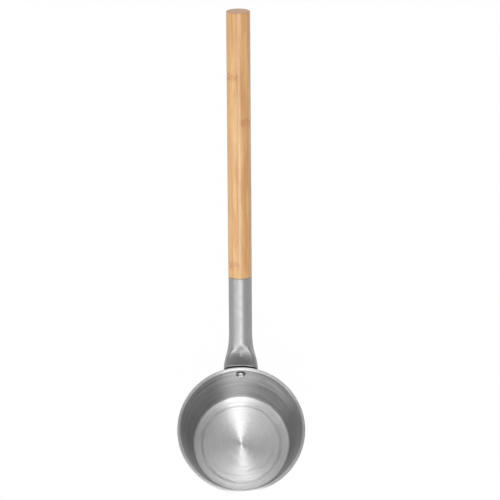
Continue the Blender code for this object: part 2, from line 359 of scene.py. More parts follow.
@dataclass(frozen=True)
class TurnedSteel:
    """Stainless steel with the fine rings of the lathe, all round the cup's axis, its wall darkened by
    painted shade.
    """

    colours: tuple[Colour, Colour] = shades((0.57, 0.57, 0.57), 0.13)
    shade_range: Range = (0.36, 0.64)
    roughness: Range = around(0.38, 0.12)
    anisotropy: float = 0.96
    brushing_turn: float = 0.25
    fine_rings: Grain = Grain(1500.0, 3.0, 0.7)
    broad_rings: Grain = Grain(560.0)
    ring_waver: float = 0.0020
    fine_depth: float = 0.000003
    broad_depth: float = 0.000012
    bump: float = 0.5
    floor_top: float = 0.0015
    corner_blend: float = 0.004
    # Painted shade: the wall's colour is darkened to this share of the floor's, standing in for the dimmer
    # light on the inner wall.
    wall_painted_shade: float = 0.58
    wall_roughness: float = 0.10
    wall_streaks: Grain = Grain(380.0, 3.0, 0.6)
    wall_streak_range: Range = (0.38, 0.62)
    wall_streak_shades: Range = around(0.0, 0.15)
    lip_height: float = 0.0580
    lip_blend: float = 0.0008
    # Painted light on the lip: it is lifted from the wall's painted shade back to nearly the floor's
    # colour.
    lip_painted_shade: float = 0.95

    def material(self) -> Material:
        """Builds the material.

        Returns:
            The material.
        """
        board = Finish("turned_steel")
        x, y, z = board.separate(board.place())
        radius = board.math("SQRT", board.plus(board.times(x, x), board.times(y, y)))
        run = board.plus(radius, z)
        waver = [board.times(board.over(side, radius), self.ring_waver) for side in (x, y)]
        rings = board.combine(run, *waver)
        even_rings = board.noise(board.combine(run, 0.0, 0.0), self.broad_rings)
        fine = board.noise(rings, self.fine_rings)
        shade = board.ramp(board.mean(fine, board.noise(rings, self.broad_rings)), *self.shade_range)
        on_wall = board.ramp(z, self.floor_top, self.floor_top + self.corner_blend)
        rough = board.ramp(shade, 0.0, 1.0, *self.roughness)
        # Painted shade of the wall and the lip, together with the wall's streaks, multiplied into the
        # colour.
        tone = self._painted_shade_and_streaks(board, rings, z, on_wall)
        skin = board.bump(even_rings, self.bump, self.broad_depth)
        return board.finished(
            base_color=board.mix(1.0, board.mix(shade, *self.colours), tone, "MULTIPLY"),
            metallic=1.0,
            roughness=board.plus(rough, board.times(on_wall, self.wall_roughness)),
            anisotropic=self.anisotropy,
            anisotropic_rotation=self.brushing_turn,
            tangent=board.add("ShaderNodeTangent", direction_type="RADIAL", axis="Z").outputs[0],
            normal=board.bump(fine, self.bump, self.fine_depth, skin),
        )

    def _painted_shade_and_streaks(self, board: Finish, rings: Socket, height: Socket, on_wall: Socket) -> Socket:
        """Painted shade on each part of the cup, with the wall's streaks: the floor full, the wall painted
        darker, the lip between.

        Args:
            board: The material's board.
            rings: The point along the lathe's rings.
            height: The point's height.
            on_wall: 0 on the floor and 1 on the wall.

        Returns:
            The socket of the share of the colour that is kept.
        """
        # Painted shade: the wall darker than the floor, and the lip painted lighter again.
        wall = board.ramp(on_wall, 0.0, 1.0, 1.0, self.wall_painted_shade)
        streaks = board.noise(rings, self.wall_streaks)
        streaks = board.ramp(streaks, *self.wall_streak_range, *self.wall_streak_shades)
        lip_top = self.lip_height + self.lip_blend
        lip = board.ramp(height, self.lip_height, lip_top, 0.0, self.lip_painted_shade - self.wall_painted_shade)
        return board.plus(board.plus(wall, board.times(streaks, on_wall)), lip)


@dataclass(frozen=True)
class GrainedSkin:
    """Even skin with a fine grain. A cloud, if it has one, makes it rough and smooth in patches."""

    name: str
    colours: tuple[Colour, Colour]
    roughness: Range
    grain: Grain
    grain_depth: float
    bump: float
    metallic: float = 1.0
    cloud: Grain | None = None
    frame: Matrix | None = None

    def material(self) -> Material:
        """Builds the material.

        Returns:
            The material.
        """
        board = Finish(self.name)
        point = board.place(self.frame)
        grain = board.noise(point, self.grain)
        cloud = grain if self.cloud is None else board.noise(point, self.cloud)
        return board.finished(
            base_color=board.mix(grain, *self.colours),
            metallic=self.metallic,
            roughness=board.ramp(cloud, *NOISE_RANGE, *self.roughness),
            normal=board.bump(grain, self.bump, self.grain_depth),
        )


@dataclass(frozen=True)
class CastMetal(GrainedSkin):
    """Satin cast metal: even, with a fine blasted skin."""

    name: str = "satin_cast_metal"
    colours: tuple[Colour, Colour] = shades((0.34, 0.34, 0.344), 0.04)
    roughness: Range = around(0.48, 0.08)
    grain: Grain = Grain(2600.0, 3.0, 0.6)
    grain_depth: float = 0.0000025
    bump: float = 0.35
    cloud: Grain | None = Grain(160.0)


@dataclass(frozen=True)
class ScrewSteel(GrainedSkin):
    """Bright screw steel with faint marks of handling."""

    name: str = "plated_steel"
    colours: tuple[Colour, Colour] = shades((0.42, 0.42, 0.416), 0.06)
    roughness: Range = around(0.40, 0.12)
    grain: Grain = Grain(1500.0, 4.0, 0.6)
    grain_depth: float = 0.000008
    bump: float = 0.3


@dataclass(frozen=True)
class Rubber(GrainedSkin):
    """Matt black rubber with a fine moulded grain."""

    name: str = "black_rubber"
    colours: tuple[Colour, Colour] = ((0.012, 0.012, 0.013), (0.022, 0.022, 0.023))
    roughness: Range = around(0.62, 0.14)
    grain: Grain = Grain(3800.0, 3.0, 0.6)
    grain_depth: float = 0.000020
    bump: float = 0.5
    metallic: float = 0.0


@dataclass(frozen=True)
class LaminatedBamboo:
    """Strips of bamboo glued side by side and turned round, with their nodes and end grain."""

    frame: Matrix
    rod_end: float
    light: Colour = (0.625, 0.372, 0.160)
    dark: Colour = (0.45, 0.222, 0.070)
    node_colour: Colour = (0.39, 0.135, 0.038)
    end_colour: Colour = (0.72, 0.44, 0.26)
    glue_colour: Colour = (0.44, 0.25, 0.10)
    strip_width: float = 0.0104
    strip_height: float = 0.0068
    strip_tone: float = 0.16
    strip_shift: float = 0.31
    fibre: Grain = Grain(strength=0.6, stretch=(1350.0, 1350.0, 48.0))
    streak: Grain = Grain(layers=3.0, strength=0.6, stretch=(520.0, 520.0, 12.0))
    cloud: Grain = Grain(stretch=(90.0, 90.0, 18.0))
    cloud_share: float = 0.5
    shade_range: Range = (0.36, 0.68)
    fleck: Grain = Grain(layers=1.0, stretch=(3000.0, 3000.0, 160.0))
    fleck_range: Range = (0.62, 0.74)
    fleck_share: float = 0.40
    glue_width: float = 0.00012
    glue_share: float = 0.45
    node_spacing: float = 0.1655
    left_node: float = 0.1080
    right_node: float = 0.0690
    layer_shift: float = 0.0610
    node_width: float = 0.0056
    node_share: float = 0.12
    waves: Grain = Grain(stretch=(260.0, 260.0, 60.0))
    wave_height: float = 0.006
    specks: Grain = Grain(stretch=(1100.0, 1100.0, 1000.0))
    speck_range: Range = (0.48, 0.58)
    speck_share: float = 0.80
    speck_fade: Range = (0.8, 0.3)
    end_depth: float = 0.0009
    end_full_share: float = 0.25
    end_dots: float = 2400.0
    end_dot_stretch: tuple[float, float, float] = (1.0, 1.0, 0.02)
    end_dot_range: Range = (0.15, 0.45)
    end_roughness: float = 0.2
    roughness: Range = around(0.30, 0.10)
    specular: float = 0.72
    fibre_depth: float = 0.000020
    bump: float = 0.35

    def material(self) -> Material:
        """Builds the material.

        Returns:
            The material.
        """
        board = Finish("laminated_bamboo")
        point = board.place(self.frame)
        across, upward, along = board.separate(point)
        column = board.math("FLOOR", board.over(across, self.strip_width))
        layer = board.math("FLOOR", board.plus(board.over(upward, self.strip_height), 0.5))
        strip = board.combine(column, layer, 0.0)
        chance = board.add("ShaderNodeTexWhiteNoise", {"Vector": strip}, noise_dimensions="3D")
        tone = chance.outputs["Value"]
        shift = board.combine(0.0, 0.0, board.times(tone, self.strip_shift))
        shifted = board.add("ShaderNodeVectorMath", {0: point, 1: shift}).outputs[0]
        fibre = board.noise(shifted, self.fibre)
        shade = board.mean(fibre, board.noise(shifted, self.streak))
        cloud = board.minus(board.noise(shifted, self.cloud), 0.5)
        shade = board.plus(shade, board.times(cloud, self.cloud_share))
        shade = board.plus(shade, board.times(board.minus(tone, 0.5), self.strip_tone))
        colour = board.mix(board.ramp(shade, *self.shade_range), self.light, self.dark)
        flecks = board.ramp(board.noise(shifted, self.fleck), *self.fleck_range)
        colour = board.mix(board.times(flecks, self.fleck_share), colour, self.dark)
        colour = board.mix(self._nodes(board, shifted, column, layer, along), colour, self.node_colour)
        colour = board.mix(self._glue(board, across, upward), colour, self.glue_colour)
        end_full = self.rod_end - self.end_depth * self.end_full_share
        end = board.ramp(along, self.rod_end - self.end_depth, end_full)
        rough = board.ramp(fibre, *NOISE_RANGE, *self.roughness)
        return board.finished(
            base_color=board.mix(end, colour, self._end_grain(board, point)),
            roughness=board.plus(rough, board.times(end, self.end_roughness)),
            specular_ior_level=self.specular,
            normal=board.bump(fibre, self.bump, self.fibre_depth),
        )

    def _nodes(self, board: Finish, point: Socket, column: Socket, layer: Socket, along: Socket) -> Socket:
        """Dark marks across a strip where the cane had a node.

        Args:
            board: The material's board.
            point: The point along the strip.
            column: The strip's number from side to side.
            layer: The strip's number from below to above.
            along: The place along the rod.

        Returns:
            The socket of how much of the node's colour shows.
        """
        left = board.math("GREATER_THAN", column, -0.5)
        right = board.minus(1.0, left)
        first = board.plus(board.times(left, self.left_node), board.times(right, self.right_node))
        first = board.plus(first, board.times(board.minus(layer, 1.0), self.layer_shift))
        waves = board.times(board.noise(point, self.waves), self.wave_height)
        place = board.minus(board.plus(along, waves), board.plus(first, self.wave_height / 2))
        turn = board.plus(board.over(place, self.node_spacing), 0.5)
        away = board.times(board.off_middle(turn), self.node_spacing)
        band = board.ramp(away, self.node_width, 0.0, 0.0, self.node_share)
        specks = board.ramp(board.noise(point, self.specks), *self.speck_range)
        near = board.ramp(away, *(self.node_width * share for share in self.speck_fade))
        return board.plus(band, board.times(board.times(specks, self.speck_share), near))

    def _glue(self, board: Finish, across: Socket, upward: Socket) -> Socket:
        """Thin lines where two strips meet.

        Args:
            board: The material's board.
            across: The place from side to side.
            upward: The place from below to above.

        Returns:
            The socket of how much of the glue line shows.
        """
        lines = []
        for place, pitch, shift in ((across, self.strip_width, 0.5), (upward, self.strip_height, 0.0)):
            turn = board.plus(board.over(place, pitch), shift)
            lines.append(board.times(board.off_middle(turn), pitch))
        near = board.math("MINIMUM", *lines)
        return board.ramp(near, self.glue_width, 0.0, 0.0, self.glue_share)

    def _end_grain(self, board: Finish, point: Socket) -> Socket:
        """Dots of the fibres' ends on the rod's end.

        Args:
            board: The material's board.
            point: The point in the rod's frame.

        Returns:
            The socket of the colour.
        """
        values = {"Vector": board.stretched(point, self.end_dot_stretch), "Scale": self.end_dots}
        dots = board.add("ShaderNodeTexVoronoi", values).outputs["Distance"]
        return board.mix(board.ramp(dots, *self.end_dot_range), self.node_colour, self.end_colour)


@dataclass(frozen=True)
class PaleFloor:
    """Plain white ground that keeps a faint shadow and isn't there when looked at from below."""

    colour: Colour = (0.80, 0.80, 0.80)
    roughness: float = 0.9
    white_share: float = 0.985

    def material(self) -> Material:
        """Builds the material.

        Returns:
            The material.
        """
        board = Finish("pale_floor")
        rays = board.add("ShaderNodeLightPath").outputs
        shown = board.math("MAXIMUM", rays["Is Camera Ray"], rays["Is Glossy Ray"])
        shown = board.math("MAXIMUM", shown, rays["Is Transmission Ray"])
        board.finished(base_color=with_alpha(self.colour), roughness=self.roughness, specular_ior_level=0.0)
        white = board.add("ShaderNodeEmission", {"Color": with_alpha(WHITE), "Strength": 1.0}).outputs[0]
        share = board.times(shown, self.white_share)
        lit = board.add("ShaderNodeMixShader", {0: share, 1: board.shader.outputs[0], 2: white}).outputs[0]
        back = board.add("ShaderNodeNewGeometry").outputs["Backfacing"]
        clear = board.add("ShaderNodeBsdfTransparent").outputs[0]
        both = board.add("ShaderNodeMixShader", {0: back, 1: lit, 2: clear}).outputs[0]
        board.give(board.tree.nodes["Material Output"].inputs["Surface"], both)
        return board.material


# ------------------------------------ Shaping -----------------------------------------------


def linked(name: str, data: bpy.types.ID, finish: Material | None = None) -> Piece:
    """Adds an object to the scene.

    Args:
        name: The object's name.
        data: Its mesh, lamp or camera.
        finish: The mesh's material, if it has one yet.

    Returns:
        The new object.
    """
    made = bpy.data.objects.new(name, data)
    bpy.context.scene.collection.objects.link(made)
    if finish is not None:
        data.materials.append(finish)
    return made


def baked(piece: Piece) -> Piece:
    """Turns a piece with modifiers into a plain mesh.

    Args:
        piece: The piece.

    Returns:
        The same piece.
    """
    evaluated = piece.evaluated_get(bpy.context.evaluated_depsgraph_get())
    mesh = bpy.data.meshes.new_from_object(evaluated)
    mesh.name = piece.name
    piece.modifiers.clear()
    piece.data = mesh
    return piece


def smoothed(piece: Piece) -> Piece:
    """Turns a closed piece's faces outwards and shades it smooth except at its sharp edges.

    Args:
        piece: The piece.

    Returns:
        The same piece.
    """
    shape = bmesh.new()
    shape.from_mesh(piece.data)
    bmesh.ops.remove_doubles(shape, verts=shape.verts, dist=MERGE_DISTANCE)
    bmesh.ops.recalc_face_normals(shape, faces=shape.faces)
    shape.to_mesh(piece.data)
    shape.free()
    piece.data.shade_smooth()
    piece.data.set_sharp_from_angle(angle=SHARP_ANGLE)
    return piece


def carved(piece: Piece, cutters: Iterable[Piece]) -> Piece:
    """Takes the cutters' space out of a piece, smooths it and takes the cutters out of the scene.

    Args:
        piece: The piece.
        cutters: Closed objects.

    Returns:
        The same piece.
    """
    cutters = list(cutters)
    for cutter in cutters:
        modifier = piece.modifiers.new(cutter.name, "BOOLEAN")
        modifier.operation = "DIFFERENCE"
        modifier.object = cutter
    baked(piece)
    for cutter in cutters:
        bpy.data.objects.remove(cutter)
    return smoothed(piece)


def rounded(corners: Sequence[Corner], arc_steps: int, closed: bool = False) -> list[Vector]:
    """Outline through corners, each rounded by its own radius.

    Args:
        corners: Corners of (across, along, radius).
        arc_steps: Straight steps in each rounding.
        closed: Whether the outline ends where it starts.

    Returns:
        The outline's points, with across as x and along as y.
    """
    outline = []
    for index, (across, along, radius) in enumerate(corners):
        here = Vector((across, along))
        if radius == 0:
            outline.append(here)
            continue
        before = (Vector(corners[index - 1][:2]) - here).normalized()
        after = (Vector(corners[(index + 1) % len(corners)][:2]) - here).normalized()
        half = before.angle(after) / 2
        centre = here + (before + after).normalized() * radius / sin(half)
        first = here + before * radius / tan(half) - centre
        last = here + after * radius / tan(half) - centre
        swing = -first.angle_signed(last)
        for step in range(arc_steps + 1):
            outline.append(centre + Matrix.Rotation(swing * step / arc_steps, 2) @ first)
    if closed:
        outline.append(outline[0])
    return outline


def divided(outline: Sequence[Vector], longest: float) -> list[Vector]:
    """Outline with each step longer than the longest one divided evenly.

    Args:
        outline: The outline's points.
        longest: The longest step that may stay.

    Returns:
        The points of the finer outline.
    """
    points = [outline[0]]
    for start, end in zip(outline, outline[1:]):
        count = max(1, ceil((end - start).length / longest))
        points += [start.lerp(end, step / count) for step in range(1, count + 1)]
    return points


def skinned(name: str, rings: Sequence[Sequence[Vector]], finish: Material | None = None) -> Piece:
    """Closed piece through rings of points.

    Args:
        name: The piece's name.
        rings: The rings, all with as many points. A ring may be one point, and a last ring is capped.
        finish: Its material.

    Returns:
        The new piece.
    """
    shape = bmesh.new()
    rows = [[shape.verts.new(point) for point in ring] for ring in rings]
    for lower, upper in zip(rows, rows[1:]):
        count = max(len(lower), len(upper))
        for index in range(count):
            after = (index + 1) % count
            corners = [lower[index % len(lower)], lower[after % len(lower)]]
            corners += [upper[after % len(upper)], upper[index % len(upper)]]
            shape.faces.new(dict.fromkeys(corners))
    if len(rows[-1]) > 1:
        shape.faces.new(rows[-1])
    mesh = bpy.data.meshes.new(name)
    shape.to_mesh(mesh)
    shape.free()
    return smoothed(linked(name, mesh, finish))


@dataclass(frozen=True)
class Thread:
    """Screw thread that is cut on a turned piece between two heights."""

    start: float
    end: float
    pitch: float
    depth: float

    def share(self, height: float) -> float:
        """Share of the full depth at a height, which fades out over one pitch at both ends."""
        return max(0.0, min(1.0, (height - self.start) / self.pitch, (self.end - height) / self.pitch))


NO_THREAD = Thread(start=0.0, end=0.0, pitch=1.0, depth=0.0)


class Lathe:
    """Geometry Nodes tree that turns an outline about Z, with a thread where the outline has one."""

    INPUTS = {
        "Outline": "NodeSocketGeometry",
        "Segments": "NodeSocketInt",
        "Thread Pitch": "NodeSocketFloat",
        "Thread Depth": "NodeSocketFloat",
        "Merge Distance": "NodeSocketFloat",
        "Finish": "NodeSocketMaterial",
    }

    def __init__(self) -> None:
        """Builds the tree with its named inputs."""
        self.tree = bpy.data.node_groups.new("lathe", "GeometryNodeTree")
        self.board = Board(self.tree)
        self.inputs: dict[str, str] = {}
        for name, kind in self.INPUTS.items():
            item = self.tree.interface.new_socket(name, in_out="INPUT", socket_type=kind)
            self.inputs[name] = item.identifier
        self.tree.interface.new_socket("Piece", in_out="OUTPUT", socket_type="NodeSocketGeometry")
        self._wire()

    def _wire(self) -> None:
        """Wires the grid of outline points and turns, its bending round Z, and its finish."""
        board = self.board
        given = board.add("NodeGroupInput").outputs
        outline, segments = given["Outline"], given["Segments"]
        size = board.add("GeometryNodeAttributeDomainSize", {"Geometry": outline}).outputs["Point Count"]
        rows = board.plus(segments, 1.0)
        grid = board.add("GeometryNodeMeshGrid", {"Vertices X": size, "Vertices Y": rows}).outputs["Mesh"]
        index = board.add("GeometryNodeInputIndex").outputs[0]
        # Half an index keeps the division clear of whole numbers before it is cut down to one.
        station = board.math("FLOOR", board.over(board.plus(index, 0.5), rows))
        turn = board.over(board.minus(index, board.times(station, rows)), segments)
        place = board.add("GeometryNodeInputPosition").outputs[0]
        thread = board.add("GeometryNodeInputNamedAttribute", {"Name": THREAD_SHARE}, data_type="FLOAT")
        spot, share = (
            board.add(
                "GeometryNodeSampleIndex",
                {"Geometry": outline, "Value": value, "Index": station},
                data_type=kind,
            ).outputs["Value"]
            for value, kind in ((place, "FLOAT_VECTOR"), (thread.outputs[0], "FLOAT"))
        )
        radius, _, height = board.separate(spot)
        phase = board.math("FRACT", board.minus(board.over(height, given["Thread Pitch"]), turn))
        valley = board.math("ABSOLUTE", board.minus(board.times(phase, 2.0), 1.0))
        sunk = board.times(board.times(valley, given["Thread Depth"]), share)
        radius = board.minus(radius, sunk)
        angle = board.times(turn, 2 * pi)
        sides = [board.times(radius, board.math(wave, angle)) for wave in ("COSINE", "SINE")]
        bent = {"Geometry": grid, "Position": board.combine(*sides, height)}
        shape = board.add("GeometryNodeSetPosition", bent).outputs[0]
        merged = {"Geometry": shape, "Distance": given["Merge Distance"]}
        shape = board.add("GeometryNodeMergeByDistance", merged).outputs[0]
        shape = board.add("GeometryNodeRealizeInstances", {"Geometry": shape}).outputs[0]
        dressed = {"Geometry": shape, "Material": given["Finish"]}
        board.add("NodeGroupOutput", {0: board.add("GeometryNodeSetMaterial", dressed).outputs[0]})

    def turned(
        self,
        name: str,
        outline: Sequence[Vector],
        segments: int,
        finish: Material | None = None,
        frame: Matrix | None = None,
        thread: Thread = NO_THREAD,
    ) -> Piece:
        """Turns a piece.

        Args:
            name: The piece's name.
            outline: Points of (radius, height).
            segments: Flat faces round the piece.
            finish: Its material.
            frame: The frame whose Z it is turned about.
            thread: The thread on it, if it has one.

        Returns:
            The new piece, with its place in its mesh.
        """
        mesh = bpy.data.meshes.new(name)
        mesh.from_pydata([(point.x, 0.0, point.y) for point in outline], [], [])
        shares = mesh.attributes.new(THREAD_SHARE, "FLOAT", "POINT")
        for index, point in enumerate(outline):
            shares.data[index].value = thread.share(point.y)
        piece = linked(name, mesh)
        modifier = piece.modifiers.new("lathe", "NODES")
        modifier.node_group = self.tree
        modifier[self.inputs["Segments"]] = segments
        modifier[self.inputs["Thread Pitch"]] = thread.pitch
        modifier[self.inputs["Thread Depth"]] = thread.depth
        modifier[self.inputs["Merge Distance"]] = MERGE_DISTANCE
        modifier[self.inputs["Finish"]] = finish
        baked(piece)
        if frame is not None:
            piece.data.transform(frame)
        return smoothed(piece)


def fitted(piece: Piece, node: str) -> None:
    """Puts a finished piece in its CAD node's place.

    Args:
        piece: The piece.
        node: The CAD node that it stands for.
    """
    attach(piece, BODY)
    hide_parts(node)
    LOG.info("%s: %d faces, stands for %s", piece.name, len(piece.data.polygons), node)


# ------------------------------------ Pieces ------------------------------------------------


@dataclass(frozen=True)
class Cup:
    """Cup drawn from steel sheet and turned: lip, conical wall and flat floor with a raised panel."""

    rim_diameter: float = 0.110
    height: float = 0.0595
    base_diameter: float = 0.085
    sheet: float = 0.0008
    lip_overhang: float = 0.0016
    lip_thickness: float = 0.0013
    lip_edge_radius: float = 0.0006
    lip_root_radius: float = 0.0008
    mouth_radius: float = 0.0012
    base_corner_radius: float = 0.0018
    panel_diameter: float = 0.073
    panel_rise: float = 0.00012
    panel_step: float = 0.0014
    ring_rise: float = 0.0003
    groove_diameters: tuple[float, ...] = (0.0708, 0.0696, 0.0682)
    groove_width: float = 0.00036
    groove_depth: float = 0.00008
    segments: int = 256
    arc_steps: int = 6
    wall_step: float = 0.0016

    @property
    def lean(self) -> float:
        """Angle of the wall from upright."""
        return atan2((self.rim_diameter - self.base_diameter) / 2 - self.lip_overhang, self.height)

    @property
    def lip_underside(self) -> float:
        """Height of the lip's underside."""
        return self.height - self.lip_thickness

    def wall_radius(self, height: float, offset: float = 0.0) -> float:
        """Radius of the outer wall at a height, or of a cone that lies offset outside it."""
        return self.base_diameter / 2 + height * tan(self.lean) + offset / cos(self.lean)

    def wall_point(self, height: float, x: float = 0.0, offset: float = 0.0) -> Vector:
        """Point of that cone on the handle's side, x away from the plane of symmetry."""
        return Vector((x, sqrt(self.wall_radius(height, offset) ** 2 - x * x), height))

    def frame_on_wall(self, height: float, rise: float) -> Matrix:
        """Frame on the outer wall whose Z leaves it at an angle above level, with Y on top."""
        turned_out = Matrix.Rotation(pi, 4, "Z") @ Matrix.Rotation(pi / 2 - rise, 4, "X")
        return Matrix.Translation(self.wall_point(height)) @ turned_out

    def grooves(self) -> list[Corner]:
        """Corners of the fine turned rings on the inner floor.

        Returns:
            The corners, from the outer ring inwards.
        """
        top = self.sheet + self.panel_rise
        corners = []
        for diameter in self.groove_diameters:
            inner, outer = around(diameter / 2, self.groove_width)
            corners += [(outer, top, 0), (diameter / 2, top - self.groove_depth, 0), (inner, top, 0)]
        return corners

    def outline(self) -> list[Vector]:
        """Outline of the sheet's section.

        Returns:
            Its points, from the panel's underside over the lip and back to the middle of the floor.
        """
        inner = -self.sheet
        inner_corner = self.base_corner_radius - self.sheet
        panel = self.panel_diameter / 2
        corners = [
            (0, self.panel_rise, 0),
            (panel, self.panel_rise, 0),
            (panel + self.panel_step, 0, 0),
            (self.wall_radius(self.ring_rise), self.ring_rise, self.base_corner_radius),
            (self.wall_radius(self.lip_underside), self.lip_underside, self.lip_root_radius),
            (self.rim_diameter / 2, self.lip_underside, self.lip_edge_radius),
            (self.rim_diameter / 2, self.height, self.lip_edge_radius),
            (self.wall_radius(self.height, inner), self.height, self.mouth_radius),
            (self.wall_radius(self.sheet, inner), self.sheet + self.ring_rise, inner_corner),
            (panel + self.panel_step, self.sheet, 0),
            (panel, self.sheet + self.panel_rise, 0),
            *self.grooves(),
            (0, self.sheet + self.panel_rise, 0),
        ]
        return divided(rounded(corners, self.arc_steps), self.wall_step)

    def build(self, lathe: Lathe, hole: Piece) -> None:
        """Turns the cup, drills it with the cutter of the screw's hole and puts it in its place."""
        cup = lathe.turned("steel_cup", self.outline(), self.segments, TurnedSteel().material())
        fitted(carved(cup, [hole]), "cup")


@dataclass(frozen=True)
class Foot:
    """Outline of the ferrule's foot on the cup's wall, which the pad shares."""

    cup: Cup
    width: float = 0.0298
    height: float = 0.040
    below_lip: float = 0.0014
    top_squareness: float = 8.0
    bottom_squareness: float = 2.3
    segments: int = 192
    cap_steps: int = 10

    @property
    def middle(self) -> float:
        """Height of the outline's middle."""
        return self.cup.lip_underside - self.below_lip - self.height / 2

    def turns(self) -> list[float]:
        """Angles of the lines that the foot is drawn with."""
        return [2 * pi * step / self.segments for step in range(self.segments)]

    def point(self, turn: float, offset: float, inset: float = 0.0, share: float = 1.0) -> Vector:
        """Point on the outline, drawn in and then scaled.

        Args:
            turn: The point's angle round the middle.
            offset: How far outside the wall it lies.
            inset: How far it is drawn in.
            share: What it is scaled by.

        Returns:
            The point.
        """
        across = cos(turn) / (self.width / 2)
        upward = sin(turn) / (self.height / 2)
        power = self.top_squareness if upward > 0 else self.bottom_squareness
        reach = (abs(across) ** power + abs(upward) ** power) ** (-1 / power)
        reach = (reach - inset) * share
        return self.cup.wall_point(self.middle + reach * sin(turn), reach * cos(turn), offset)

    def ring(self, offset: float, inset: float = 0.0, share: float = 1.0) -> list[Vector]:
        """Ring of points round the outline."""
        return [self.point(turn, offset, inset, share) for turn in self.turns()]

    def face(self, offset: float, inset: float) -> list[list[Vector]]:
        """Rings that fill the outline on a cone round the wall, from its middle outwards."""
        rings = [self.ring(offset, inset, step / self.cap_steps) for step in range(1, self.cap_steps + 1)]
        return [[self.cup.wall_point(self.middle, 0, offset)]] + rings


@dataclass(frozen=True)
class Pad:
    """Rubber pad between the foot and the wall, squeezed so that its edge bulges a little."""

    foot: Foot
    thickness: float = 0.0032
    inset: float = 0.0003
    bulge: float = 0.0002
    edge_steps: int = 8

    @property
    def outer_face(self) -> float:
        """How far the pad's outer face lies from the wall."""
        return SEAT_GAP + self.thickness

    @property
    def foot_back(self) -> float:
        """How far the foot's back lies from the wall."""
        return self.outer_face + SEAT_GAP

    def build(self, hole: Piece) -> None:
        """Shapes the pad, drills it and puts it in its place.

        Args:
            hole: The cutter of the screw's hole.
        """
        rings = self.foot.face(SEAT_GAP, self.inset)
        for step in range(1, self.edge_steps):
            share = step / self.edge_steps
            inset = self.inset - self.bulge * sin(pi * share)
            rings.append(self.foot.ring(SEAT_GAP + self.thickness * share, inset))
        rings += self.foot.face(self.outer_face, self.inset)[::-1]
        pad = skinned("foot_pad", rings, Rubber().material())
        fitted(carved(pad, [hole]), "cup_gasket")


